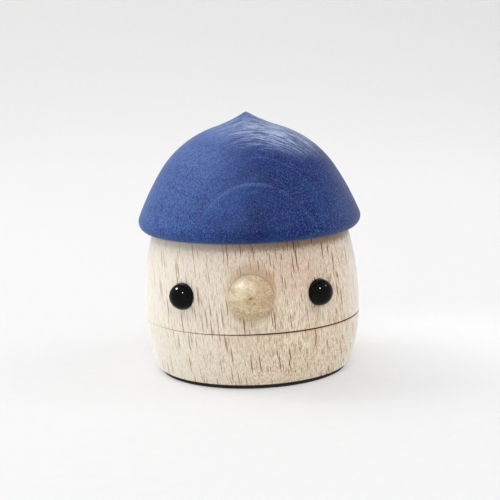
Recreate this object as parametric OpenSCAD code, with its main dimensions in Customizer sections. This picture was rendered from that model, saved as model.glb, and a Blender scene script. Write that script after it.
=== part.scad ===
// Turned wooden acorn figure that opens: a cup with a lift-off upper body, a stained cap,
// a ball nose, two bead eyes and a thin pad underneath.
// Millimetres. +Z is up, the face looks along -Y, +X is at the right hand of someone facing it,
// and the origin lies on the turning axis, in the pad's resting face.

/* [Figure] */
// Height from the table to the tip of the cap
figure_h = 60; // [56:0.5:66]
// Height of the parting seam between cup and upper body
seam_z = 13; // [11.5:0.1:14]

/* [Barrel body] */
// Greatest radius of the body
body_r = 25.25; // [24.5:0.05:27]
// Height of the greatest radius
body_r_z = 14.5; // [14:0.1:16]
// Radius of the side's curve below the widest level
side_low_r = 36.3; // [32:0.1:45]
// Radius of the side's curve above the widest level
side_high_r = 70.9; // [60:0.1:90]
// Broken edge under the body
foot_edge = 0.4; // [0.2:0.05:0.6]
// Broken edge on each side of the seam
seam_edge = 0.2; // [0.1:0.05:0.3]

/* [Inside] */
// Radius of the cup's bore and of the room above it
room_r = 17.5; // [15:0.1:18]
// Height of the cup's floor
floor_z = 5; // [4:0.1:7]
// Height of the ceiling in the upper body
ceiling_z = 28; // [26:0.1:28.5]
// Radius of the spigot that stands up from the cup
spigot_r = 20; // [19.5:0.05:20.5]
// Height of the spigot above the seam
spigot_h = 5; // [4:0.1:6]
// Lead-in at the top of the spigot
spigot_lead = 0.5; // [0.3:0.05:0.8]
// Running clearance round the spigot
spigot_gap = 0.05; // [0.02:0.01:0.1]
// Free height above the spigot's end
spigot_end_gap = 0.3; // [0.2:0.05:0.5]

/* [Cap] */
// Radius of the rounded tip
tip_r = 0.9; // [0.7:0.05:1.2]
// Slope at the foot of the tip, in degrees
tip_slope = 31; // [30:0.1:33]
// Radius of the hollow sweep round the tip
sweep_r = 34; // [32:0.1:36]
// Slope at the outer end of the hollow sweep, in degrees
sweep_slope = 17.6; // [16:0.1:19]
// Radius of the shoulder
shoulder_r = 23.5; // [23:0.1:24]
// Slope at the outer end of the shoulder, in degrees
shoulder_slope = 57.6; // [57:0.1:59]
// Radius of the skirt, the flatter stretch above the rim
skirt_r = 64; // [60:0.1:67]
// Slope at the foot of the skirt, in degrees
skirt_slope = 68.1; // [67.5:0.1:69]
// Radius of the rolled rim
rim_r = 2.48; // [2.3:0.02:2.6]

/* [Cap dowel] */
// Radius of the dowel
dowel_r = 4; // [3:0.1:5]
// Length of the dowel
dowel_l = 13; // [10:0.1:15]
// Depth of the dowel in the upper body
dowel_seat = 3.2; // [2.5:0.1:3.4]
// Glue space above the dowel's upper end
dowel_end_gap = 0.5; // [0.3:0.1:0.8]

/* [Face] */
// Height of the nose
nose_z = 21.3; // [20.5:0.1:22]
// Radius of the ball end of the nose
nose_r = 5; // [4:0.1:5.5]
// Length of the nose's shank behind the ball's centre
nose_shank = 4.4; // [4:0.1:5]
// Depth of the dish that the nose sits in
dish_depth = 1.6; // [1.2:0.05:2]
// Radius of the cutter that sinks the dish
dish_r = 20; // [16:0.5:26]
// Rise of the dish's middle above the middle of the nose
dish_rise = 0.6; // [0:0.1:1]
// Height of the eyes
eye_z = 21.1; // [20.5:0.1:22]
// Turn of each eye away from the nose, in degrees
eye_turn = 37.4; // [33:0.1:41]
// Radius of an eye's dome
eye_r = 3; // [2.5:0.1:3.5]
// Depth of the flat seat under an eye
eye_seat = 0.25; // [0.2:0.05:0.4]
// Radius of an eye's stem
stem_r = 1.25; // [1:0.05:1.5]
// Length of an eye's stem below its seat
stem_l = 4; // [3:0.1:4.5]
// Free depth below the end of each stem
stem_end_gap = 0.3; // [0.2:0.05:0.4]

/* [Glued fits] */
// Clearance all round a glued dowel, shank or stem
glue_fit = 0.05; // [0.02:0.01:0.1]

/* [Pad] */
// Radius of the pad
pad_r = 21.8; // [20:0.1:22]
// Thickness of the pad
pad_t = 1; // [0.8:0.1:1.4]

/* [Hidden] */

$fn = 96;
// Largest turn of an outline between two of its points, in degrees
arc_step = 3;
// Height between two points of the barrel's outline
side_step = 1.5;
// How far a cutting tool starts outside the face that it cuts
past = 1;

beech = [0.86, 0.79, 0.69];
blue_stain = [0.25, 0.35, 0.6];
pad_black = [0.08, 0.06, 0.05];
eye_black = [0.03, 0.03, 0.03];

spigot_top_z = seam_z + spigot_h;
socket_r = spigot_r + spigot_gap;
socket_top_z = spigot_top_z + spigot_end_gap;

// The cap's outline from its tip to its underside: [signed radius, slope at the arc's end].
// Each arc starts at the slope where the last one ends, and a negative radius is a hollow arc.
cap_arcs = [
    [tip_r, tip_slope],
    [-sweep_r, sweep_slope],
    [shoulder_r, shoulder_slope],
    [skirt_r, skirt_slope],
    [rim_r, 180]
];
cap_outline = arc_chain(cap_arcs, [0, figure_h], 0);
cap_seat_z = last_of(cap_outline)[1];
dowel_z = cap_seat_z - dowel_seat;

function last_of(v) = v[len(v) - 1];

// The points after p along one arc, while the outline's slope turns from a0 to a1
function arc_points(r, p, a0, a1) =
    let (n = ceil(abs(a1 - a0) / arc_step))
    [for (i = [1:n]) let (a = a0 + (a1 - a0) * i / n) p + r * [sin(a) - sin(a0), cos(a) - cos(a0)]];

// All the points of a chain of tangent arcs that starts at p with slope a0
function arc_chain(arcs, p, a0, i = 0) =
    i == len(arcs) ? [p] :
    let (run = arc_points(arcs[i][0], p, a0, arcs[i][1]))
    concat([p], [for (k = [0:1:len(run) - 2]) run[k]], arc_chain(arcs, last_of(run), arcs[i][1], i + 1));

// Radius of the barrel's curve at height z, and the body's radius there
function side_r(z) = z < body_r_z ? side_low_r : side_high_r;
function body_x(z) = body_r - side_r(z) + sqrt(pow(side_r(z), 2) - pow(z - body_r_z, 2));

// The points of the barrel's side from z0 up to z1
function side_points(z0, z1) =
    let (n = ceil((z1 - z0) / side_step))
    [for (i = [0:n]) let (z = z0 + (z1 - z0) * i / n) [body_x(z), z]];

// How far the wall leans back at height z, in degrees
function wall_lean(z) = asin((z - body_r_z) / side_r(z));

// Puts its children on the body's wall, their +Z square to it and outward.
// turn is counted from the middle of the face, and a positive turn is towards +X.
module on_wall(turn, z) {
    rotate([0, 0, turn - 90])
        translate([body_x(z), 0, z])
            rotate([0, 90 - wall_lean(z), 0])
                children();
}

module base_pad() {
    color(pad_black)
        cylinder(r = pad_r, h = pad_t);
}

module lower_cup() {
    color(beech)
        rotate_extrude()
            polygon(concat(
                [[0, pad_t], [body_x(pad_t) - foot_edge, pad_t]],
                side_points(pad_t + foot_edge, seam_z - seam_edge),
                [
                    [body_x(seam_z) - seam_edge, seam_z],
                    [spigot_r, seam_z],
                    [spigot_r, spigot_top_z - spigot_lead],
                    [spigot_r - spigot_lead, spigot_top_z],
                    [room_r, spigot_top_z],
                    [room_r, floor_z],
                    [0, floor_z]
                ]
            ));
}

module upper_body_blank() {
    rotate_extrude()
        polygon(concat(
            [[socket_r, seam_z], [body_x(seam_z) - seam_edge, seam_z]],
            side_points(seam_z + seam_edge, cap_seat_z),
            [
                [0, cap_seat_z],
                [0, ceiling_z],
                [room_r, ceiling_z],
                [room_r, socket_top_z],
                [socket_r, socket_top_z]
            ]
        ));
}

module nose_pocket() {
    on_wall(0, nose_z) {
        translate([-dish_rise, 0, dish_r - dish_depth])
            sphere(r = dish_r);
        translate([0, 0, -nose_shank])
            cylinder(r = nose_r + glue_fit, h = nose_shank + past);
    }
}

module eye_pocket(turn) {
    on_wall(turn, eye_z) {
        translate([0, 0, -eye_seat])
            cylinder(r = eye_r + glue_fit, h = eye_seat + past);
        translate([0, 0, -eye_seat - stem_l - stem_end_gap])
            cylinder(r = stem_r + glue_fit, h = stem_l + stem_end_gap + past);
    }
}

module upper_body() {
    color(beech)
        difference() {
            upper_body_blank();
            translate([0, 0, dowel_z])
                cylinder(r = dowel_r + glue_fit, h = dowel_seat + past);
            nose_pocket();
            eye_pocket(-eye_turn);
            eye_pocket(eye_turn);
        }
}

module cap() {
    color(blue_stain)
        difference() {
            rotate_extrude()
                polygon(concat([[0, cap_seat_z]], cap_outline));
            translate([0, 0, cap_seat_z - past])
                cylinder(r = dowel_r + glue_fit, h = past + dowel_l - dowel_seat + dowel_end_gap);
        }
}

module cap_dowel() {
    color(beech)
        translate([0, 0, dowel_z])
            cylinder(r = dowel_r, h = dowel_l);
}

// Half a ball that stands on the plane z = 0
module dome(r) {
    intersection() {
        sphere(r = r);
        cylinder(r = r + past, h = r + past);
    }
}

module nose() {
    color(beech)
        on_wall(0, nose_z) {
            translate([0, 0, -nose_shank])
                cylinder(r = nose_r, h = nose_shank);
            dome(nose_r);
        }
}

module eye(turn) {
    color(eye_black)
        on_wall(turn, eye_z) {
            translate([0, 0, -eye_seat - stem_l])
                cylinder(r = stem_r, h = stem_l + eye_seat);
            translate([0, 0, -eye_seat])
                cylinder(r = eye_r, h = eye_seat);
            dome(eye_r);
        }
}

base_pad();
lower_cup();
upper_body();
cap();
cap_dowel();
nose();
eye(-eye_turn);  // eye_left
eye(eye_turn);  // eye_right
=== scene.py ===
"""Turned wooden acorn figure that opens: a beech cup and upper body, a blue-stained cap, a ball nose,
two bead eyes and a black pad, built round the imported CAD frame. Sizes are in millimetres unless they
say otherwise; meshes are written in metres in the CAD's own frame, with the face along -Y."""

import math

import bmesh
import bpy
from mathutils import Matrix, Vector, noise


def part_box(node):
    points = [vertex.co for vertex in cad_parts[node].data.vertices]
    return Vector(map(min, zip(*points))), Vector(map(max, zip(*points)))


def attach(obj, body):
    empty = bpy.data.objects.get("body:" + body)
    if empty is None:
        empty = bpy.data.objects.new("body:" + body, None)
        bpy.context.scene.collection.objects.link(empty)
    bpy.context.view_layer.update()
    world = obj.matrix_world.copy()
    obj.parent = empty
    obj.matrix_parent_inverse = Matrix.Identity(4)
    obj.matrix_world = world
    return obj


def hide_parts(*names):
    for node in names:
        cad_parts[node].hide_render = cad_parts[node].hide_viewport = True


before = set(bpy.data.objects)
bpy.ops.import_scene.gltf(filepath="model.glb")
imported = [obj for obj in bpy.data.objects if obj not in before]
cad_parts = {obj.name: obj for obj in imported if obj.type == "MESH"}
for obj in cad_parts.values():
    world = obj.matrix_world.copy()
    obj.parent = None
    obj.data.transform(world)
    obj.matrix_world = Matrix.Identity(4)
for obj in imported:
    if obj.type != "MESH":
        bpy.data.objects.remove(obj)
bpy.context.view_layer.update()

# Metres in a millimetre
MM = 0.001


def node_box(node):
    """A CAD node's lowest and highest corners, in millimetres."""
    low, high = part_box(node)
    return Vector(low) / MM, Vector(high) / MM


# ---------------------------------------------------------------- levels and radii from the frame
PAD_HIGH = node_box("base_pad")[1]
CUP_LOW, CUP_HIGH = node_box("lower_cup")
HEAD_LOW = node_box("upper_body")[0]
CAP_LOW, CAP_HIGH = node_box("cap")
DOWEL_LOW, DOWEL_HIGH = node_box("cap_dowel")

PAD_R = PAD_HIGH.x
PAD_TOP_Z = PAD_HIGH.z
FOOT_Z = CUP_LOW.z
SEAM_Z = HEAD_LOW.z
SPIGOT_TOP_Z = CUP_HIGH.z
SEAT_Z = CAP_LOW.z
TIP_Z = CAP_HIGH.z
DOWEL_R = DOWEL_HIGH.x
DOWEL_FOOT_Z = DOWEL_LOW.z
DOWEL_TOP_Z = DOWEL_HIGH.z

# ---------------------------------------------------------------- the body's own curves
BODY_R = 25.25
BODY_R_Z = 14.5
SIDE_LOW_R = 36.3
SIDE_HIGH_R = 70.9
ROOM_R = 17.5
FLOOR_Z = 5.0
CEILING_Z = 28.0
SPIGOT_R = 20.0
SOCKET_R = 20.05
SOCKET_TOP_Z = SPIGOT_TOP_Z + 0.3
DOWEL_END_GAP = 0.5
GLUE_FIT = 0.05
# Clearance left round the nose and the eyes where the glue fills the rest
SNUG = 0.015

# The cap's outline from the tip down: signed arc radius and the slope at the arc's end, in degrees
CAP_ARCS = ((0.9, 31.0), (-34.0, 17.6), (23.5, 57.6), (64.0, 68.1), (2.48, 180.0))

NOSE_R = 5.0
NOSE_Z = 21.3
NOSE_SHANK = 4.4
DISH_R = 20.0
DISH_DEPTH = 1.6
DISH_RISE = 0.6
# How far from the dish's middle its cutter reaches, and how softly its rim is rounded
DISH_REACH = 11.0
DISH_RIM = 0.10
EYE_R = 3.0
EYE_Z = 21.1
EYE_TURN = 37.4
EYE_SEAT = 0.25
STEM_R = 1.25
STEM_L = 4.0
STEM_END_GAP = 0.3

# ---------------------------------------------------------------- softened edges, as radii
PAD_EDGE = 0.12
FOOT_EDGE = 0.5
# On both sides of the seam and round the foot of an eye
FINE_EDGE = 0.08
SPIGOT_LEAD = 0.5
# At the top of the cup's room and at the foot of the socket over the spigot
MOUTH_EDGE = 0.3
# In the far corners of the two rooms
ROOM_CORNER = 1.0
# Round the dowel's holes and at the top of the socket
HOLE_EDGE = 0.2
SEAT_EDGE = 0.25
SHANK_EDGE = 0.3

# ---------------------------------------------------------------- the upper body's lip
# Width of the flat ring that stands on the cup, and the width over which the lip lifts off outside it
LIP_FLAT = 1.2
LIP_RISE = 0.3
# Height of the lip, where the body's side is left out of the outline to make room for the seam's edge
LIP_H = 0.3
# How far the lip's outer edge stands off the cup, at the left and at the right
LIP_GAP_LEFT = 0.06
LIP_GAP_RIGHT = 0.62

# ---------------------------------------------------------------- fineness of the meshes
CURVE_STEP = 0.35
# Height between two points of the upper body's side, which carries the dish
FACE_STEP = 0.16
# Points round the large turned pieces, the nose, an eye and a hole, and up a dome
TURN_STEPS = 288
NOSE_TURNS = 160
EYE_TURNS = 128
HOLE_TURNS = 96
DOME_STEPS = 40
# A point of an outline that is nearer to the axis than this lies on it
ON_AXIS = 1e-6
# An edge that turns more than this is shaded as a sharp one
SHARP_ANGLE = math.radians(50)
# Direction of the face round the turning axis, in degrees from +X
FACE_ANGLE = 270.0

# ---------------------------------------------------------------- camera
CAMERA_DISTANCE = 300.0
CAMERA_AIM = Vector((-0.1, 0.0, 27.51))
CAMERA_AZIMUTH = math.radians(0.6)
CAMERA_ELEVATION = math.radians(10.0)
CAMERA_ROLL = math.radians(-1.92)
SENSOR_WIDTH = 36.0
LENS = 91.72


def add_camera():
    """A long lens ten degrees above the table, a touch to the right and slightly askew."""
    camera = bpy.data.objects.new("camera", bpy.data.cameras.new("camera"))
    bpy.context.scene.collection.objects.link(camera)
    camera.data.sensor_width = SENSOR_WIDTH
    camera.data.lens = LENS
    camera.data.clip_start = 0.01
    camera.data.clip_end = 20.0
    level = Vector((math.sin(CAMERA_AZIMUTH), -math.cos(CAMERA_AZIMUTH), 0.0))
    back = level * math.cos(CAMERA_ELEVATION) + Vector((0.0, 0.0, math.sin(CAMERA_ELEVATION)))
    camera.location = (CAMERA_AIM + back * CAMERA_DISTANCE) * MM
    look = (-back).to_track_quat("-Z", "Y").to_matrix().to_4x4()
    camera.rotation_euler = (look @ Matrix.Rotation(CAMERA_ROLL, 4, "Z")).to_euler()
    bpy.context.scene.camera = camera


add_camera()


# ---------------------------------------------------------------- outlines
def side_x(z):
    """The body's radius at height z."""
    r = SIDE_LOW_R if z < BODY_R_Z else SIDE_HIGH_R
    return BODY_R - r + math.sqrt(r * r - (z - BODY_R_Z) ** 2)


def side_points(z0, z1, step=CURVE_STEP):
    """Points up the body's side from z0 to z1."""
    n = math.ceil((z1 - z0) / step)
    return [(side_x(z0 + (z1 - z0) * i / n), z0 + (z1 - z0) * i / n) for i in range(n + 1)]


def arc_chain(arcs, start, step=CURVE_STEP):
    """Points along a chain of tangent arcs, from start with slope 0."""
    points = [start]
    slope = 0.0
    for radius, end in arcs:
        x, z = points[-1]
        a0, a1 = math.radians(slope), math.radians(end)
        n = max(6, math.ceil(abs(radius * (a1 - a0)) / step))
        for i in range(1, n + 1):
            a = a0 + (a1 - a0) * i / n
            points.append((
                x + radius * (math.sin(a) - math.sin(a0)),
                z + radius * (math.cos(a) - math.cos(a0)),
            ))
        slope = end
    return points


def rounded(corners, steps=5):
    """An outline from corners (x, z) or (x, z, fillet radius), with each fillet as an arc."""
    out = []
    for i, corner in enumerate(corners):
        here = Vector(corner[:2])
        if len(corner) == 2:
            out.append(tuple(here))
            continue
        before = (Vector(corners[i - 1][:2]) - here).normalized()
        after = (Vector(corners[i + 1][:2]) - here).normalized()
        half = before.angle(after) / 2
        reach = corner[2] / math.tan(half)
        middle = here + (before + after).normalized() * (corner[2] / math.sin(half))
        a = (here + before * reach - middle).normalized()
        b = (here + after * reach - middle).normalized()
        for k in range(steps + 1):
            out.append(tuple(middle + a.slerp(b, k / steps) * corner[2]))
    return out


def dome(radius):
    """Quarter circle from the rim of a dome to its top."""
    angles = [math.pi / 2 * i / DOME_STEPS for i in range(DOME_STEPS)]
    return [(radius * math.cos(a), radius * math.sin(a)) for a in angles] + [(0.0, radius)]


def split_long(points, step):
    """The same outline with its long straight stretches cut into pieces."""
    out = [points[0]]
    for a, b in zip(points, points[1:]):
        n = max(1, math.ceil(math.dist(a, b) / step))
        out += [(a[0] + (b[0] - a[0]) * i / n, a[1] + (b[1] - a[1]) * i / n) for i in range(1, n + 1)]
    return out


# ---------------------------------------------------------------- meshes
def even_turns(n=TURN_STEPS):
    """Angles round a turned piece, in radians, all the same distance apart."""
    return [2 * math.pi * i / n for i in range(n)]


def face_turns(fine=0.36, coarse=1.25, reach=22.0, growth=0.1):
    """Angles round the body, in radians, closer together in front, where the dish is."""
    angles = []
    a = 0.0
    while a < 360.0:
        angles.append(math.radians(a))
        off_face = abs((a - FACE_ANGLE + 180.0) % 360.0 - 180.0)
        a += fine if off_face < reach else min(coarse, fine + (off_face - reach) * growth)
    return angles


def turned(name, outline, turns, shape=None):
    """A closed surface turned from an outline that starts and ends on the axis.
    shape is a function that moves a point, in mm."""
    bm = bmesh.new()
    loops = []
    for x, z in outline:
        if x < ON_AXIS:
            loops.append([bm.verts.new((0.0, 0.0, z))])
        else:
            loops.append([bm.verts.new((x * math.cos(a), x * math.sin(a), z)) for a in turns])
    for low, high in zip(loops, loops[1:]):
        for i in range(len(turns)):
            j = (i + 1) % len(turns)
            if len(low) == 1:
                bm.faces.new((low[0], high[i], high[j]))
            elif len(high) == 1:
                bm.faces.new((low[i], low[j], high[0]))
            else:
                bm.faces.new((low[i], low[j], high[j], high[i]))
    if shape:
        for v in bm.verts:
            v.co = shape(v.co)
    bmesh.ops.recalc_face_normals(bm, faces=bm.faces)
    for v in bm.verts:
        v.co *= MM
    for f in bm.faces:
        f.smooth = True
    mesh = bpy.data.meshes.new(name)
    bm.to_mesh(mesh)
    bm.free()
    mesh.set_sharp_from_angle(angle=SHARP_ANGLE)
    obj = bpy.data.objects.new(name, mesh)
    bpy.context.scene.collection.objects.link(obj)
    return obj


def wall_frame(turn, z):
    """The place on the body's wall at that turn from the nose: +Z square to the wall and outward, in mm."""
    lean = math.asin((z - BODY_R_Z) / SIDE_HIGH_R)
    around = Matrix.Rotation(math.radians(turn - 90.0), 4, "Z")
    return around @ Matrix.Translation((side_x(z), 0.0, z)) @ Matrix.Rotation(math.pi / 2 - lean, 4, "Y")


def in_metres(place):
    """A place in mm as a matrix in metres."""
    return Matrix.Translation(place.translation * MM) @ place.to_quaternion().to_matrix().to_4x4()


def sanded(amount, size, seed):
    """A shape function: the surface sinks by up to amount, unevenly, as hand sanding leaves it."""
    shift = Vector((seed, seed * 0.37, seed * 0.71))

    def shape(p):
        out = Vector((p.x, p.y, 0.0))
        if out.length < 1e-4:
            return p
        sink = amount * (0.5 + 0.5 * noise.noise(p / size + shift))
        return p - out.normalized() * sink

    return shape


def dished(shape):
    """A shape function that first sinks the nose's dish into the wall, with a softly rounded rim."""
    place = wall_frame(0.0, NOSE_Z) @ Matrix.Translation((-DISH_RISE, 0.0, 0.0))
    back = place.inverted()
    # Points further in than this are on the inside of the body or at its back
    wall_depth = 0.15 * DISH_R

    def dish(p):
        p = shape(p)
        q = back @ p
        across = math.hypot(q.x, q.y)
        if across > DISH_REACH or q.z < -wall_depth:
            return p
        floor = DISH_R - DISH_DEPTH - math.sqrt(DISH_R ** 2 - across ** 2)
        above = q.z - floor
        q.z -= 0.5 * (above + math.sqrt(above * above + DISH_RIM * DISH_RIM))
        return place @ q

    return dish


def bored(obj, name, place, outline):
    """Cuts a turned hole into obj at that place."""
    tool = turned(name, outline, even_turns(HOLE_TURNS))
    tool.matrix_world = in_metres(place)
    cut = obj.modifiers.new(name, "BOOLEAN")
    cut.operation = "DIFFERENCE"
    cut.solver = "EXACT"
    cut.object = tool
    bpy.context.view_layer.update()
    depsgraph = bpy.context.evaluated_depsgraph_get()
    mesh = bpy.data.meshes.new_from_object(obj.evaluated_get(depsgraph))
    obj.modifiers.clear()
    obj.data = mesh
    bpy.data.objects.remove(tool)


# ---------------------------------------------------------------- node trees
SHEEN_ROUGHNESS = 0.35


class Tree:
    """Short calls for building one material's node tree.
    Lengths in it are millimetres of the piece's own frame."""

    def __init__(self, name):
        self.material = bpy.data.materials.new(name)
        self.material.use_nodes = True
        self.nodes = self.material.node_tree.nodes
        self.links = self.material.node_tree.links
        self.shader = self.nodes["Principled BSDF"]
        coordinates = self.nodes.new("ShaderNodeTexCoord")
        self.point = self.scaled(coordinates.outputs["Object"], 1.0 / MM)

    def put(self, socket, value):
        """Links value to the socket if it is one itself, or sets it there."""
        if isinstance(value, bpy.types.NodeSocket):
            self.links.new(value, socket)
        else:
            socket.default_value = value

    def math(self, operation, a, b=0.0, c=0.0):
        node = self.nodes.new("ShaderNodeMath")
        node.operation = operation
        for socket, value in zip(node.inputs, (a, b, c)):
            self.put(socket, value)
        return node.outputs[0]

    def times(self, a, b):
        return self.math("MULTIPLY", a, b)

    def times_plus(self, a, factor, b):
        """a times factor, plus b."""
        return self.math("MULTIPLY_ADD", a, factor, b)

    def off(self, a, middle):
        """How far a is from middle, whichever way."""
        return self.math("ABSOLUTE", self.math("SUBTRACT", a, middle))

    def vector(self, operation, a, b):
        node = self.nodes.new("ShaderNodeVectorMath")
        node.operation = operation
        self.put(node.inputs[0], a)
        self.put(node.inputs[1], b)
        return node.outputs["Vector"]

    def length(self, a):
        node = self.nodes.new("ShaderNodeVectorMath")
        node.operation = "LENGTH"
        self.put(node.inputs[0], a)
        return node.outputs["Value"]

    def scaled(self, a, factor):
        node = self.nodes.new("ShaderNodeVectorMath")
        node.operation = "SCALE"
        self.put(node.inputs[0], a)
        self.put(node.inputs["Scale"], factor)
        return node.outputs["Vector"]

    def stretched(self, a, factors):
        """A vector with its own factor for each axis."""
        return self.vector("MULTIPLY", a, factors)

    def away_from(self, a, middle, factors):
        """Distance of a from middle, with its own factor for each axis."""
        return self.length(self.stretched(self.vector("SUBTRACT", a, middle), factors))

    def seen_from(self, place):
        """The point in the coordinates of a place, a matrix in mm."""
        node = self.nodes.new("ShaderNodeMapping")
        node.vector_type = "TEXTURE"
        self.put(node.inputs["Vector"], self.point)
        node.inputs["Location"].default_value = place.translation
        node.inputs["Rotation"].default_value = place.to_euler()
        return node.outputs["Vector"]

    def turned(self, a, angles):
        """A vector turned by angles, in degrees, about X, Y and Z."""
        node = self.nodes.new("ShaderNodeVectorRotate")
        node.rotation_type = "EULER_XYZ"
        self.put(node.inputs["Vector"], a)
        node.inputs["Rotation"].default_value = [math.radians(t) for t in angles]
        return node.outputs["Vector"]

    def joined(self, x, y, z):
        node = self.nodes.new("ShaderNodeCombineXYZ")
        for socket, value in zip(node.inputs, (x, y, z)):
            self.put(socket, value)
        return node.outputs[0]

    def parts(self, a):
        node = self.nodes.new("ShaderNodeSeparateXYZ")
        self.put(node.inputs[0], a)
        return node.outputs

    def noise(self, a, detail=2.0, roughness=0.5):
        node = self.nodes.new("ShaderNodeTexNoise")
        self.put(node.inputs["Vector"], a)
        node.inputs["Scale"].default_value = 1.0
        node.inputs["Detail"].default_value = detail
        node.inputs["Roughness"].default_value = roughness
        return node.outputs["Fac"]

    def cells(self, a):
        """Distance to the nearest scattered point, and that point's own random colour."""
        node = self.nodes.new("ShaderNodeTexVoronoi")
        node.voronoi_dimensions = "3D"
        self.put(node.inputs["Vector"], a)
        node.inputs["Scale"].default_value = 1.0
        return node.outputs["Distance"], node.outputs["Color"]

    def step(self, value, low, high, out_low=0.0, out_high=1.0):
        """value from low to high, turned smoothly into out_low to out_high."""
        node = self.nodes.new("ShaderNodeMapRange")
        node.interpolation_type = "SMOOTHSTEP"
        for socket, x in zip(node.inputs, (value, low, high, out_low, out_high)):
            self.put(socket, x)
        return node.outputs[0]

    def mix(self, factor, a, b):
        """Colour a, turned into colour b where factor is 1."""
        node = self.nodes.new("ShaderNodeMix")
        node.data_type = "RGBA"
        self.put(node.inputs["Factor"], factor)
        for name, value in (("A", a), ("B", b)):
            socket = [s for s in node.inputs if s.name == name and s.type == "RGBA"][0]
            self.put(socket, value if isinstance(value, bpy.types.NodeSocket) else (*value, 1.0))
        return [s for s in node.outputs if s.type == "RGBA"][0]

    def bump(self, height, strength, distance):
        """A normal for height, where a height of 1 stands for distance in mm."""
        node = self.nodes.new("ShaderNodeBump")
        node.inputs["Strength"].default_value = strength
        node.inputs["Distance"].default_value = distance * MM
        self.put(node.inputs["Height"], height)
        return node.outputs["Normal"]

    def glow(self, color, strength):
        self.shader.inputs["Emission Color"].default_value = (*color, 1.0)
        self.put(self.shader.inputs["Emission Strength"], strength)

    def finish(self, color, roughness, normal, specular=0.5, sheen=0.0):
        self.put(self.shader.inputs["Base Color"], color)
        self.put(self.shader.inputs["Roughness"], roughness)
        self.put(self.shader.inputs["Normal"], normal)
        self.put(self.shader.inputs["Specular IOR Level"], specular)
        self.put(self.shader.inputs["Sheen Weight"], sheen)
        self.shader.inputs["Sheen Roughness"].default_value = SHEEN_ROUGHNESS
        return self.material


# Factors that leave Z out of a distance
LEVEL = (1.0, 1.0, 0.0)

# ---------------------------------------------------------------- wood
# Place of the tree's pith, the middle of its growth rings, in X and Y
PITH = (7.6, -105.0)
# Distance between two rings at ring 0, and how fast they crowd together further out
RING_SPACING = 4.7
RING_CROWDING = 0.037
# Distance from the pith to ring 0 in the body's blank and in the cap's
BODY_FIRST_RING = 81.0
CAP_FIRST_RING = 84.5
# How far the rays lean over, in degrees
RAY_LEAN = 5.0


def rings(tree, point, first):
    """Growth rings round a pith line that stands in front of the blank, one per whole number.
    first is the pith's distance from ring 0; the rings lie closer together further out."""
    x, y, _ = tree.parts(point)
    warp = tree.noise(tree.stretched(point, (0.05, 0.05, 0.02)), detail=1.0)
    away_x = tree.math("SUBTRACT", x, PITH[0])
    away_y = tree.math("SUBTRACT", y, PITH[1])
    square = tree.math("ADD", tree.times(away_x, away_x), tree.times(away_y, away_y))
    past = tree.math("ADD", tree.math("SQRT", square), -first)
    past = tree.times_plus(warp, 1.2, tree.math("SUBTRACT", past, 0.6))
    crowded = tree.times_plus(past, RING_CROWDING / RING_SPACING, 1.0 / RING_SPACING)
    return tree.times(past, crowded)


def ray_dashes(tree, pitch, reach, share, seed, strength):
    """Ray cells: thin upright ribbons that run front to back, cut as short dark dashes by the face.
    pitch spaces them along X, Y and Z, reach is a ribbon's half size in pitches, share is how many show
    and strength, which may vary over the wood, is how strongly.
    Gives the dashes, a soft halo round them, and a random tone for each."""
    leaned = tree.turned(tree.point, (0.0, RAY_LEAN, 0.0))
    spaced = tree.stretched(leaned, (1 / pitch[0], 1 / pitch[1], 1 / pitch[2]))
    near, color = tree.cells(tree.vector("ADD", spaced, (seed, seed * 2, seed * 3)))
    random = tree.parts(color)
    size = tree.step(random[0], 1.0 - share, 1.0, 0.0, reach)
    inside = tree.math("DIVIDE", near, tree.math("MAXIMUM", size, 0.001))
    dash = tree.times(tree.step(inside, 1.1, 0.8), strength)
    halo = tree.times(tree.step(inside, 2.0, 1.0), strength)
    return dash, halo, random[1]


def dish_shade_and_light(tree, hue):
    """How much painted shade and painted light the nose's dish gets: painted shade at its top, which faces
    down, and painted light at its bottom and sides. In the nose's own coordinates X is down, Y is to the
    right and Z is outward."""
    down, right, out = tree.parts(tree.seen_from(wall_frame(0.0, NOSE_Z)))
    across = tree.length(tree.joined(tree.times_plus(down, 0.88, 0.4), right, 0.0))
    across = tree.times_plus(hue, 2.4, tree.math("SUBTRACT", across, 1.2))
    inside = tree.times(tree.step(across, 7.0, 5.4), tree.step(out, -3.0, -2.5))
    lean = tree.times_plus(right, -0.3, down)
    # Painted shade in the dish's upper part
    dark = tree.times(inside, tree.step(lean, -0.6, -5.2, 0.0, 0.46))
    # Painted light at the dish's bottom and at its sides
    lean = tree.times_plus(right, -0.45, lean)
    sides = tree.step(tree.math("ABSOLUTE", right), 4.2, 6.0, 0.0, 0.42)
    pale = tree.math("MAXIMUM", sides, tree.step(lean, -1.5, 4.0, 0.0, 0.65))
    return dark, tree.times(inside, pale)


def seam_soil_and_shade(tree):
    """A dark ring inside the seam's gap: wood burnished by the parting tool near the edge, and painted shade
    further in, where the gap lies in shadow. It is fainter at the left."""
    x, _, z = tree.parts(tree.point)
    radius = tree.length(tree.stretched(tree.point, LEVEL))
    level = tree.step(tree.off(z, SEAM_Z), 0.5, 0.4)
    edge = side_x(SEAM_Z)
    ring = tree.times(tree.step(radius, edge - 2.6, edge - 1.0), tree.step(radius, edge - 0.03, edge - 0.12))
    return tree.times(tree.times(level, ring), tree.step(x, -22.0, -8.0, 0.3, 1.0))


# ---------------------------------------------------------------- beech
# How fine each pattern is along X, Y and Z, in waves per millimetre
FIBRE_WAVES = (5.3, 5.3, 0.42)
PORE_WAVES = (9.0, 2.5, 1.6)
HUE_WAVES = (0.6, 0.6, 0.3)
CLOUD_WAVES = (0.16, 0.16, 0.06)
# Spacing of the rays along X, Y and Z
LARGE_RAY_PITCH = (0.27, 14.0, 5.6)
FINE_RAY_PITCH = (0.20, 6.0, 2.2)
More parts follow.
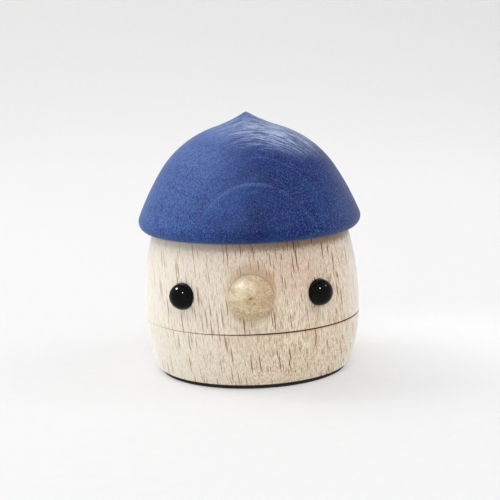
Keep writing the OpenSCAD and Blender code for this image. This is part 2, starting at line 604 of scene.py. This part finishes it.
# Colours of the wood, of what has happened to it, and of the light and shade painted on it
TAN = (0.74, 0.635, 0.50)
PALE_TAN = (0.80, 0.70, 0.56)
YELLOW_TAN = (0.84, 0.73, 0.50)
PINK_TAN = (0.80, 0.64, 0.545)
GREEN_TAN = (0.755, 0.70, 0.49)
LATE_WOOD = (0.52, 0.37, 0.235)
DARK_FIBRE = (0.46, 0.32, 0.20)
PALE_FIBRE = (0.91, 0.83, 0.69)
PORE = (0.34, 0.20, 0.115)
# Painted shade at the top of the nose's dish, and painted light at its bottom and sides
DISH_SHADE = (0.60, 0.37, 0.21)
DISH_LIGHT = (0.88, 0.80, 0.58)
# Painted shade below the cap
UNDER_CAP_SHADE = (0.60, 0.42, 0.315)
# Painted shade beside the right eye, below the cap
CHEEK_SHADE = (0.60, 0.39, 0.27)
# Painted shadow of the cap's rim
RIM_SHADOW = (0.25, 0.155, 0.095)
# Dark fringe along the seam
SEAM_FRINGE = (0.56, 0.33, 0.15)
# The seam's burnished edge, and painted shade deeper inside its gap
SOIL_AND_SHADE = (0.075, 0.027, 0.008)
# Painted light: the paler left side, which faces the light
LIT_PALE = (0.89, 0.85, 0.76)
# Painted sheen at the right edge, where the pale room shows at a grazing angle
EDGE_SHEEN = (0.86, 0.82, 0.78)
# Ray dashes on the wood's own tone, and on the painted lighter left side
RAY_HALO = ((0.53, 0.24, 0.11), (0.74, 0.60, 0.45))
FINE_RAY = ((0.17, 0.055, 0.022), (0.58, 0.43, 0.29))
LARGE_RAY = ((0.050, 0.013, 0.005), (0.50, 0.34, 0.21))


def beech_grain(tree, fibre, pores, hue):
    """The wood's own colour: tan with pink and greenish patches, late-wood lines, fibres and pores."""
    z = tree.parts(tree.point)["Z"]
    phase = tree.math("FRACT", rings(tree, tree.point, BODY_FIRST_RING))
    late = tree.times(tree.step(phase, 0.55, 0.96), tree.step(phase, 1.0, 0.97))
    cloud = tree.noise(tree.stretched(tree.point, CLOUD_WAVES))
    color = tree.mix(tree.step(cloud, 0.3, 0.7), TAN, PALE_TAN)
    color = tree.mix(tree.step(z, 20.0, 9.0, 0.0, 0.5), color, YELLOW_TAN)
    color = tree.mix(tree.step(hue, 0.5, 0.66, 0.0, 0.6), color, PINK_TAN)
    color = tree.mix(tree.step(hue, 0.5, 0.34, 0.0, 0.6), color, GREEN_TAN)
    color = tree.mix(tree.times(late, 0.22), color, LATE_WOOD)
    color = tree.mix(tree.step(fibre, 0.49, 0.60, 0.0, 0.72), color, DARK_FIBRE)
    color = tree.mix(tree.step(fibre, 0.50, 0.39, 0.0, 0.72), color, PALE_FIBRE)
    return tree.mix(tree.step(pores, 0.54, 0.66, 0.0, 0.6), color, PORE)


def beech_places(tree, color, fibre, hue, soil_and_shade):
    """Colours that belong to a place on the body, most of them painted light and shade: painted shade and
    light in the dish, painted shade under the cap and beside the right eye, a painted shadow under the rim, a
    dark fringe along the seam, the seam's burnished edge with painted shade in its gap, and a painted lighter
    left side."""
    x, _, z = tree.parts(tree.point)
    # Painted shade and painted light in the nose's dish
    dark, pale = dish_shade_and_light(tree, hue)
    color = tree.mix(dark, color, DISH_SHADE)
    color = tree.mix(pale, color, DISH_LIGHT)
    # Painted shade under the cap: warmer and darker towards the cap, less at the lit left and at the right
    # edge
    under_cap_shade = tree.times(tree.step(x, -12.0, 6.0, 0.5, 1.0), tree.step(x, 14.0, 23.0, 1.0, 0.1))
    under_cap_shade = tree.times(under_cap_shade, tree.step(z, 19.0, SEAT_Z - 4.0, 0.0, 0.36))
    color = tree.mix(under_cap_shade, color, UNDER_CAP_SHADE)
    # Painted shade beside the right eye, below the cap
    cheek_shade = tree.away_from(tree.point, (10.0, 0.0, 25.5), (1.0, 0.0, 1.0))
    color = tree.mix(tree.step(cheek_shade, 8.0, 2.0, 0.0, 0.24), color, CHEEK_SHADE)
    # Painted shadow of the cap's rim: a dark band just under it, with a ragged lower edge
    rim_shadow = tree.times_plus(fibre, 3.0, z)
    color = tree.mix(tree.step(rim_shadow, SEAT_Z - 0.8, SEAT_Z + 0.3, 0.0, 0.82), color, RIM_SHADOW)
    # A dark fringe along the seam, faint at the left and stronger towards the right
    seam_fringe = tree.times(tree.step(tree.off(z, SEAM_Z), 0.6, 0.15), tree.step(x, -14.0, 10.0, 0.04, 0.5))
    color = tree.mix(seam_fringe, color, SEAM_FRINGE)
    # The seam's burnished edge and the painted shade inside its gap
    color = tree.mix(tree.times(soil_and_shade, 0.95), color, SOIL_AND_SHADE)
    # Painted light: the left side, which faces the light, is paler
    return tree.mix(tree.step(x, 9.0, -24.0, 0.0, 0.62), color, LIT_PALE)


def beech():
    """Bare sanded beech: faint rings, fine fibres and pores, and reddish ray dashes."""
    tree = Tree("beech")
    x = tree.parts(tree.point)["X"]
    fibre = tree.noise(tree.stretched(tree.point, FIBRE_WAVES), detail=3.0, roughness=0.8)
    pores = tree.noise(tree.stretched(tree.point, PORE_WAVES), roughness=0.6)
    hue = tree.noise(tree.stretched(tree.point, HUE_WAVES), detail=4.0, roughness=0.75)
    soil_and_shade = seam_soil_and_shade(tree)
    color = beech_grain(tree, fibre, pores, hue)
    color = beech_places(tree, color, fibre, hue, soil_and_shade)

    # The rays run front to back, so they show as dashes in front and hardly at the sides
    cut_across = tree.step(tree.math("ABSOLUTE", x), 19.0, 24.0, 1.0, 0.2)
    large, large_halo, large_tone = ray_dashes(
        tree, LARGE_RAY_PITCH, reach=0.43, share=0.33, seed=3.1, strength=cut_across)
    fine, fine_halo, fine_tone = ray_dashes(
        tree, FINE_RAY_PITCH, reach=0.42, share=0.5, seed=7.7, strength=cut_across)
    # Painted light: the dashes and their halos are paler on the lit left side
    lit_left = tree.step(x, 9.0, -24.0)
    halo = tree.mix(lit_left, *RAY_HALO)
    color = tree.mix(tree.times(fine_halo, 0.25), color, halo)
    color = tree.mix(tree.times(large_halo, 0.35), color, halo)
    fine_dark = tree.times(fine, tree.step(fine_tone, 0.0, 1.0, 0.3, 0.8))
    large_dark = tree.times(large, tree.step(large_tone, 0.0, 1.0, 0.7, 1.0))
    color = tree.mix(fine_dark, color, tree.mix(lit_left, *FINE_RAY))
    color = tree.mix(large_dark, color, tree.mix(lit_left, *LARGE_RAY))
    # Painted sheen: the right edge is paler and greyer, but not in the seam's gap
    edge_sheen = tree.times(tree.step(x, 19.5, 25.0, 0.0, 0.32), tree.math("SUBTRACT", 1.0, soil_and_shade))
    color = tree.mix(edge_sheen, color, EDGE_SHEEN)

    # The dashes, and the seam's burnished edge and painted shade, are bare of the nap and the shine that the
    # sanded wood has
    bare = tree.math("MAXIMUM", tree.math("MAXIMUM", large_halo, fine_halo), soil_and_shade)
    nap = tree.times_plus(bare, -0.85, 0.85)
    shine = tree.times_plus(bare, -0.25, 0.25)
    height = tree.times_plus(large, -0.6, tree.times_plus(pores, -0.5, fibre))
    normal = tree.bump(height, 0.5, 0.06)
    return tree.finish(color, tree.step(fibre, 0.3, 0.7, 0.5, 0.64), normal, shine, nap)


# ---------------------------------------------------------------- blue stain
# How fine the specks and the clouds are along X, Y and Z, in waves per millimetre
SPECK_WAVES = (3.7, 3.7, 2.8)
STAIN_CLOUD_WAVES = (0.13, 0.13, 0.1)
# Middle of the painted sheen near the tip, and one over its size along X, Y and Z
TIP_SHEEN_MIDDLE = (9.0, -6.0, 56.0)
TIP_SHEEN_NARROWNESS = (0.054, 0.085, 0.135)
# Colours of the stain, and of the light and sheen painted on it
DEEP_BLUE = (0.0015, 0.009, 0.082)
BLUE = (0.003, 0.017, 0.125)
CLOUD_BLUE = (0.013, 0.046, 0.20)
# Painted light on the left of the cap, and a painted sheen at its right edge
LIT_BLUE = (0.066, 0.145, 0.43)
EDGE_SHEEN_BLUE = (0.065, 0.095, 0.22)
STREAK_PALE = (0.034, 0.080, 0.25)
STREAK_DARK = (0.004, 0.014, 0.075)
VIOLET_BLUE = (0.022, 0.020, 0.14)
GREEN_BLUE = (0.008, 0.050, 0.13)
# Painted light at the rim's lower edge
RIM_LIGHT_BLUE = (0.035, 0.060, 0.15)
# Painted sheen near the tip
TIP_SHEEN_BLUE = (0.46, 0.54, 0.68)
SPECK_PALE = (0.105, 0.19, 0.47)
SPECK_DARK = (0.002, 0.007, 0.045)
LINE_BLUE = (0.080, 0.135, 0.33)


def stain_light_and_sheen(tree, color, cloud):
    """Painted light on the stain: paler towards the left, where the light falls, and a painted grey sheen at
    the right edge.
    """
    x, _, z = tree.parts(tree.point)
    # Painted light: paler blue towards the left, where the light falls
    across = tree.times_plus(cloud, -14.0, tree.times_plus(z, -0.4, x))
    color = tree.mix(tree.step(across, -18.0, -44.0, 0.0, 0.85), color, LIT_BLUE)
    # Painted sheen: greyer at the right edge
    return tree.mix(tree.step(x, 14.0, 23.0, 0.0, 0.6), color, EDGE_SHEEN_BLUE)


def blue_stain():
    """Water-stained wood: dark blue with fine light and dark specks, thin pale ring lines that fade to the
    sides, streaks along the rings, painted light towards the left and at the rim's lower edge, and a painted
    sheen at the right edge and near the tip."""
    tree = Tree("blue_stained_wood")
    p = tree.point
    x, _, z = tree.parts(p)
    ring = rings(tree, p, CAP_FIRST_RING)
    phase = tree.math("FRACT", ring)
    speck = tree.noise(tree.stretched(p, SPECK_WAVES), detail=3.0, roughness=0.85)
    along = tree.joined(tree.times(ring, 9.0), tree.times(x, 0.22), tree.times(z, 0.22))
    streak = tree.noise(along, detail=3.0, roughness=0.7)
    cloud = tree.noise(tree.stretched(p, STAIN_CLOUD_WAVES), detail=3.0)
    hue = tree.noise(tree.scaled(p, 0.55), detail=3.0, roughness=0.65)

    color = tree.mix(tree.step(phase, 0.0, 0.85), DEEP_BLUE, BLUE)
    color = tree.mix(tree.step(cloud, 0.35, 0.7, 0.0, 0.5), color, CLOUD_BLUE)
    color = stain_light_and_sheen(tree, color, cloud)
    color = tree.mix(tree.step(streak, 0.52, 0.72, 0.0, 0.5), color, STREAK_PALE)
    color = tree.mix(tree.step(streak, 0.48, 0.3, 0.0, 0.4), color, STREAK_DARK)
    color = tree.mix(tree.step(hue, 0.5, 0.66, 0.0, 0.5), color, VIOLET_BLUE)
    # Painted light: the stain is paler towards the rim's lower edge
    color = tree.mix(tree.step(z, 36.0, 32.0, 0.0, 0.5), color, RIM_LIGHT_BLUE)
    color = tree.mix(tree.step(hue, 0.5, 0.34, 0.0, 0.5), color, GREEN_BLUE)
    # Painted sheen near the tip, streaked along the rings
    tip_sheen = tree.away_from(p, TIP_SHEEN_MIDDLE, TIP_SHEEN_NARROWNESS)
    tip_sheen = tree.times(tree.step(tip_sheen, 1.15, 0.2), tree.step(streak, 0.46, 0.57, 0.12, 1.0))
    color = tree.mix(tip_sheen, color, TIP_SHEEN_BLUE)

    rough = tree.step(tree.math("ABSOLUTE", x), 4.0, 15.0, 0.68, 1.0)
    color = tree.mix(tree.times(tree.step(speck, 0.52, 0.64, 0.0, 0.72), rough), color, SPECK_PALE)
    color = tree.mix(tree.times(tree.step(speck, 0.5, 0.37), rough), color, SPECK_DARK)

    line = tree.times(tree.step(phase, 0.86, 0.97), tree.step(phase, 1.0, 0.985))
    line = tree.times(line, tree.step(cloud, 0.35, 0.6, 0.15, 1.0))
    line = tree.times(line, tree.step(tree.math("ABSOLUTE", x), 19.0, 7.0))
    worn_line = tree.times(line, tree.step(speck, 0.36, 0.6, 0.2, 0.8))
    color = tree.mix(worn_line, color, LINE_BLUE)
    normal = tree.bump(tree.times_plus(streak, 0.5, speck), 0.6, 0.09)
    return tree.finish(color, tree.step(speck, 0.3, 0.7, 0.55, 0.7), normal, 0.06, 0.2)


# ---------------------------------------------------------------- nose
# How fine the blotches and the pores are, in waves per millimetre
NOSE_BLOTCH_WAVES = (0.62, 0.42, 0.3)
NOSE_PORE_WAVES = (2.7, 2.7, 1.3)
NOSE_RING_SPACING = 2.1
# How far the crack lies above the middle of the ball, and how it is turned, in degrees
CRACK_RISE = 0.4
CRACK_TURN = -24.0
# Colours of the end grain, and of the shade painted on it
NOSE_CREAM = (0.68, 0.61, 0.42)
NOSE_SHADE = (0.56, 0.45, 0.27)
NOSE_RING = (0.44, 0.28, 0.15)
NOSE_BLOTCH = (0.45, 0.28, 0.14)
NOSE_PALE = (0.68, 0.58, 0.37)
NOSE_PORE = (0.29, 0.16, 0.08)
NOSE_FLECK = (0.78, 0.68, 0.45)
NOSE_BAND = (0.46, 0.25, 0.16)
NOSE_BLUSH = (0.50, 0.30, 0.19)
NOSE_MIDDLE = (0.42, 0.245, 0.090)
NOSE_CRACK = (0.08, 0.035, 0.02)


def end_grain():
    """Wood with the grain along the nose's own axis: blotchy end grain on the ball's face, painted shade on
    its lower right, and a small crack in its middle. In the nose's own coordinates X is down, Y is to the
    right and Z is outward."""
    tree = Tree("nose_wood")
    p = tree.seen_from(wall_frame(0.0, NOSE_Z))
    down, right, _ = tree.parts(p)
    from_pith = tree.away_from(p, (9.0, -2.0, 0.0), LEVEL)
    wave = tree.noise(tree.scaled(p, 0.5))
    phase = tree.math("FRACT", tree.math("DIVIDE", tree.times_plus(wave, 2.4, from_pith), NOSE_RING_SPACING))
    blotch = tree.noise(tree.stretched(p, NOSE_BLOTCH_WAVES), detail=4.0, roughness=0.7)
    pores = tree.noise(tree.stretched(p, NOSE_PORE_WAVES), detail=3.0, roughness=0.8)

    # Painted shade: the ball is darker towards its lower right, away from the light, and its pores show more
    # there
    shaded_side = tree.step(tree.times_plus(down, 0.7, right), -3.2, 0.6)
    color = tree.mix(shaded_side, NOSE_CREAM, NOSE_SHADE)
    color = tree.mix(tree.step(phase, 0.35, 0.95, 0.0, 0.45), color, NOSE_RING)
    color = tree.mix(tree.step(blotch, 0.46, 0.62, 0.0, 0.5), color, NOSE_BLOTCH)
    color = tree.mix(tree.step(blotch, 0.5, 0.38, 0.0, 0.6), color, NOSE_PALE)
    coarse = tree.times_plus(shaded_side, 0.36, 0.24)
    color = tree.mix(tree.times(coarse, tree.step(pores, 0.5, 0.62)), color, NOSE_PORE)
    color = tree.mix(tree.times(coarse, tree.step(pores, 0.5, 0.38)), color, NOSE_FLECK)
    band = tree.times(tree.step(tree.off(down, 0.2), 1.5, 0.4), tree.step(right, -0.2, 1.6, 0.0, 0.3))
    color = tree.mix(band, color, NOSE_BAND)
    blush = tree.away_from(p, (-2.5, 2.3, 0.0), (0.5, 0.42, 0.0))
    color = tree.mix(tree.step(blush, 1.1, 0.3, 0.0, 0.5), color, NOSE_BLUSH)

    tilted = tree.turned(tree.vector("ADD", p, (CRACK_RISE, 0.0, 0.0)), (0.0, 0.0, CRACK_TURN))
    near_middle = tree.length(tree.stretched(tilted, (0.8, 0.45, 0.0)))
    color = tree.mix(tree.step(near_middle, 1.0, 0.15, 0.0, 0.62), color, NOSE_MIDDLE)
    crack = tree.length(tree.stretched(tilted, (5.5, 2.0, 0.0)))
    color = tree.mix(tree.step(crack, 1.0, 0.5, 0.0, 0.92), color, NOSE_CRACK)
    normal = tree.bump(pores, 0.6, 0.08)
    return tree.finish(color, tree.step(pores, 0.3, 0.7, 0.42, 0.55), normal, 0.25, 0.1)


# ---------------------------------------------------------------- plastic, rubber and paper
# Refractive index of the eyes' surface, low so that it mirrors the room only faintly
EYE_IOR = 1.18


def eye_plastic():
    """Polished black plastic with faint handling scratches."""
    tree = Tree("eye_black")
    wear = tree.noise(tree.scaled(tree.point, 1.3), detail=4.0, roughness=0.7)
    color = tree.mix(tree.step(wear, 0.3, 0.8), (0.002, 0.002, 0.0022), (0.006, 0.0055, 0.0055))
    normal = tree.bump(wear, 0.05, 0.02)
    tree.shader.inputs["IOR"].default_value = EYE_IOR
    return tree.finish(color, tree.step(wear, 0.35, 0.8, 0.05, 0.10), normal)


def pad_rubber():
    """Thin black rubber sheet with a fine skin."""
    tree = Tree("pad")
    skin = tree.noise(tree.scaled(tree.point, 4.0), detail=3.0, roughness=0.6)
    color = tree.mix(tree.step(skin, 0.3, 0.7), (0.012, 0.009, 0.008), (0.024, 0.018, 0.015))
    normal = tree.bump(skin, 0.4, 0.08)
    return tree.finish(color, tree.step(skin, 0.3, 0.7, 0.7, 0.85), normal, 0.3)


# Middle of the paper's painted glow, and of the stronger painted glow that lifts the shadow beside the figure
GLOW_MIDDLE = (0.0, 200.0, 0.0)
SHADOW_LIFT_MIDDLE = (46.0, 16.0, 0.0)


def backdrop_paper():
    """Pale paper with a painted glow that keeps the shadow on it faint.
    The glow falls off far from the figure, and a little more of it is painted into the shadow at its right."""
    tree = Tree("backdrop")
    fibre = tree.noise(tree.scaled(tree.point, 0.3))
    color = tree.mix(tree.step(fibre, 0.3, 0.7), (0.418, 0.416, 0.404), (0.428, 0.426, 0.414))
    behind = tree.away_from(tree.point, GLOW_MIDDLE, LEVEL)
    beside = tree.away_from(tree.point, SHADOW_LIFT_MIDDLE, LEVEL)
    # Painted light that lifts the cast shadow at the figure's right
    shadow_lift = tree.step(beside, 52.0, 12.0, 0.0, 0.062)
    tree.glow((1.0, 1.0, 1.03), tree.math("ADD", tree.step(behind, 180.0, 700.0, 0.335, 0.222), shadow_lift))
    return tree.finish(color, 0.8, tree.bump(fibre, 0.02, 0.05), 0.2)


BEECH = beech()
BLUE_STAIN = blue_stain()
NOSE_WOOD = end_grain()
EYE_BLACK = eye_plastic()
PAD_RUBBER = pad_rubber()


# ---------------------------------------------------------------- pieces
def keep(piece, body, node, material):
    """Gives a new piece its material and its body, and hides the CAD node that it stands for."""
    piece.data.materials.clear()
    piece.data.materials.append(material)
    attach(piece, body)
    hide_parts(node)


def make_pad():
    outline = rounded([
        (0.0, 0.0),
        (PAD_R, 0.0, PAD_EDGE),
        (PAD_R, PAD_TOP_Z, PAD_EDGE),
        (0.0, PAD_TOP_Z),
    ])
    pad = turned("pad_sheet", split_long(outline, 1.5), even_turns(), sanded(amount=0.05, size=3.0, seed=5.0))
    keep(pad, "cup", "base_pad", PAD_RUBBER)


def make_cup():
    corners = [(0.0, FOOT_Z), (side_x(FOOT_Z), FOOT_Z, FOOT_EDGE)]
    corners += side_points(FOOT_Z + 1.2, SEAM_Z - LIP_H)
    corners += [
        (side_x(SEAM_Z), SEAM_Z, FINE_EDGE),
        (SPIGOT_R, SEAM_Z),
        (SPIGOT_R, SPIGOT_TOP_Z, SPIGOT_LEAD),
        (ROOM_R, SPIGOT_TOP_Z, MOUTH_EDGE),
        (ROOM_R, FLOOR_Z, ROOM_CORNER),
        (0.0, FLOOR_Z),
    ]
    cup = turned("cup_turned", split_long(rounded(corners), 0.9), even_turns())
    keep(cup, "cup", "lower_cup", BEECH)


def seam_gap(x):
    """How far the upper body's lip stands off the cup: a hair at the left, a little more at the right."""
    rightward = 0.5 + 0.5 * x / BODY_R
    return LIP_GAP_LEFT + (LIP_GAP_RIGHT - LIP_GAP_LEFT) * rightward ** 1.5


def lifted(p):
    """Moves a point of the lip up, outside the flat ring that touches the cup."""
    out = math.hypot(p.x, p.y) - SOCKET_R - LIP_FLAT
    if p.z < SEAM_Z + LIP_H and out > 0.0:
        share = min(1.0, out / LIP_RISE) * (SEAM_Z + LIP_H - p.z) / LIP_H
        return Vector((p.x, p.y, p.z + seam_gap(p.x) * share))
    return p


def make_head():
    """The upper body: its lip touches the cup round the spigot and stands off a hair's breadth outside."""
    lip_x = SOCKET_R + LIP_FLAT
    hole_r = DOWEL_R + GLUE_FIT
    corners = [
        (0.0, CEILING_Z),
        (ROOM_R, CEILING_Z, ROOM_CORNER),
        (ROOM_R, SOCKET_TOP_Z, HOLE_EDGE),
        (SOCKET_R, SOCKET_TOP_Z),
        (SOCKET_R, SEAM_Z, MOUTH_EDGE),
        (lip_x, SEAM_Z),
        (lip_x + LIP_RISE, SEAM_Z),
        (side_x(SEAM_Z), SEAM_Z, FINE_EDGE),
    ]
    corners += side_points(SEAM_Z + LIP_H, SEAT_Z - 0.8, FACE_STEP)
    corners += [
        (side_x(SEAT_Z), SEAT_Z, SEAT_EDGE),
        (hole_r, SEAT_Z, HOLE_EDGE),
        (hole_r, DOWEL_FOOT_Z),
        (0.0, DOWEL_FOOT_Z),
    ]
    head = turned("head_turned", split_long(rounded(corners), 1.2), face_turns(), dished(lifted))
    bored(head, "nose_hole", wall_frame(0.0, NOSE_Z), [
        (0.0, -NOSE_SHANK),
        (NOSE_R + SNUG, -NOSE_SHANK),
        (NOSE_R + SNUG, NOSE_R),
        (0.0, NOSE_R),
    ])
    for name, turn in (("eye_hole_left", -EYE_TURN), ("eye_hole_right", EYE_TURN)):
        bored(head, name, wall_frame(turn, EYE_Z), [
            (0.0, -EYE_SEAT - STEM_L - STEM_END_GAP),
            (STEM_R + GLUE_FIT, -EYE_SEAT - STEM_L - STEM_END_GAP),
            (STEM_R + GLUE_FIT, -EYE_SEAT),
            (EYE_R + SNUG, -EYE_SEAT),
            (EYE_R + SNUG, EYE_R),
            (0.0, EYE_R),
        ])
    keep(head, "lid", "upper_body", BEECH)


def make_cap():
    chain = arc_chain(CAP_ARCS, (0.0, TIP_Z))
    hole_z = DOWEL_TOP_Z + DOWEL_END_GAP
    hole_r = DOWEL_R + GLUE_FIT
    inside = rounded([(0.0, hole_z), (hole_r, hole_z), (hole_r, SEAT_Z, HOLE_EDGE), chain[-1]])
    outline = split_long(inside + chain[-2::-1], 0.9)
    cap = turned("cap_turned", outline, even_turns(), sanded(amount=0.06, size=4.0, seed=2.0))
    keep(cap, "lid", "cap", BLUE_STAIN)


def on_wall(piece, turn, z):
    """Moves the piece's mesh to that place on the wall; its origin stays the frame's."""
    piece.data.transform(in_metres(wall_frame(turn, z)))


def make_nose():
    outline = rounded([(0.0, -NOSE_SHANK), (NOSE_R, -NOSE_SHANK, SHANK_EDGE), (NOSE_R, -0.4)])
    outline += dome(NOSE_R)
    nose = turned("nose_ball", split_long(outline, 0.5), even_turns(NOSE_TURNS))
    on_wall(nose, 0.0, NOSE_Z)
    keep(nose, "lid", "nose", NOSE_WOOD)


def make_eye(name, node, turn):
    outline = rounded([
        (0.0, -EYE_SEAT - STEM_L),
        (STEM_R, -EYE_SEAT - STEM_L, SHANK_EDGE),
        (STEM_R, -EYE_SEAT),
        (EYE_R, -EYE_SEAT, FINE_EDGE),
        (EYE_R, -0.05),
    ])
    outline += dome(EYE_R)
    eye = turned(name, split_long(outline, 0.4), even_turns(EYE_TURNS))
    on_wall(eye, turn, EYE_Z)
    keep(eye, "lid", node, EYE_BLACK)


make_pad()
make_cup()
make_head()
make_cap()
make_nose()
make_eye("eye_bead_left", "eye_left", -EYE_TURN)
make_eye("eye_bead_right", "eye_right", EYE_TURN)

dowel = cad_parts["cap_dowel"]
dowel.data.materials.clear()
dowel.data.materials.append(BEECH)


# ---------------------------------------------------------------- floor and light
# The paper sweep, in metres: half its width, its front edge, where and how it bends up, and its top
PAPER_HALF = 6.0
PAPER_FRONT = -6.0
PAPER_BEND_Y = 0.42
PAPER_BEND_R = 0.8
PAPER_TOP = 3.0
PAPER_STEPS = 24

# The middle of the figure, where every light points, in metres
LIGHT_AIM = Vector((0.0, 0.0, 0.028))
# Name, direction, distance and size in metres, and watts
SOFT_LIGHTS = (
    ("soft_left", (-0.54, 0.26, 0.80), 1.6, 2.4, 14.8),
    ("key_left", (-0.60, 0.22, 0.77), 1.6, 0.7, 4.0),
    ("soft_front", (0.02, -0.52, 0.85), 1.3, 0.5, 2.4),
    ("soft_right", (0.71, -0.02, 0.70), 1.2, 0.6, 2.5),
)
GLINTS = (
    ("glint_left", (-0.6, 0.1, 0.79), 1.0, 0.22, 24.0),
    ("glint_front", (0.06, -0.73, 0.66), 1.0, 0.11, 14.0),
    ("glint_right", (0.71, -0.02, 0.70), 1.0, 0.10, 3.0),
)
ROOM_COLOR = (0.97, 0.98, 1.0, 1.0)
ROOM_STRENGTH = 0.84


def add_backdrop():
    """A seamless paper sweep: flat floor, curved up far behind."""
    profile = [(PAPER_FRONT, 0.0), (PAPER_BEND_Y, 0.0)]
    for i in range(1, PAPER_STEPS + 1):
        a = math.pi / 2 * i / PAPER_STEPS
        profile.append((PAPER_BEND_Y + PAPER_BEND_R * math.sin(a), PAPER_BEND_R * (1 - math.cos(a))))
    profile.append((PAPER_BEND_Y + PAPER_BEND_R, PAPER_TOP))
    bm = bmesh.new()
    rows = [[bm.verts.new((x, y, z)) for x in (-PAPER_HALF, PAPER_HALF)] for y, z in profile]
    for a, b in zip(rows, rows[1:]):
        face = bm.faces.new((a[0], a[1], b[1], b[0]))
        face.smooth = True
    mesh = bpy.data.meshes.new("backdrop")
    bm.to_mesh(mesh)
    bm.free()
    mesh.materials.append(backdrop_paper())
    backdrop = bpy.data.objects.new("backdrop", mesh)
    bpy.context.scene.collection.objects.link(backdrop)


def add_light(name, direction, distance, size, watts):
    """A round area light that faces the middle of the figure."""
    data = bpy.data.lights.new(name, "AREA")
    data.shape = "DISK"
    data.size = size
    data.energy = watts
    light = bpy.data.objects.new(name, data)
    bpy.context.scene.collection.objects.link(light)
    way = Vector(direction).normalized()
    light.location = LIGHT_AIM + way * distance
    light.rotation_euler = way.to_track_quat("Z", "Y").to_euler()
    return light


def add_lights():
    """Soft lights that leave no reflection, small glints that only reflections show, and a pale room."""
    for settings in SOFT_LIGHTS:
        add_light(*settings).visible_glossy = False
    for settings in GLINTS:
        add_light(*settings).visible_diffuse = False
    world = bpy.data.worlds.new("studio")
    world.use_nodes = True
    background = world.node_tree.nodes["Background"]
    background.inputs["Color"].default_value = ROOM_COLOR
    background.inputs["Strength"].default_value = ROOM_STRENGTH
    bpy.context.scene.world = world
    bpy.context.scene.view_settings.view_transform = "Standard"


add_backdrop()
add_lights()
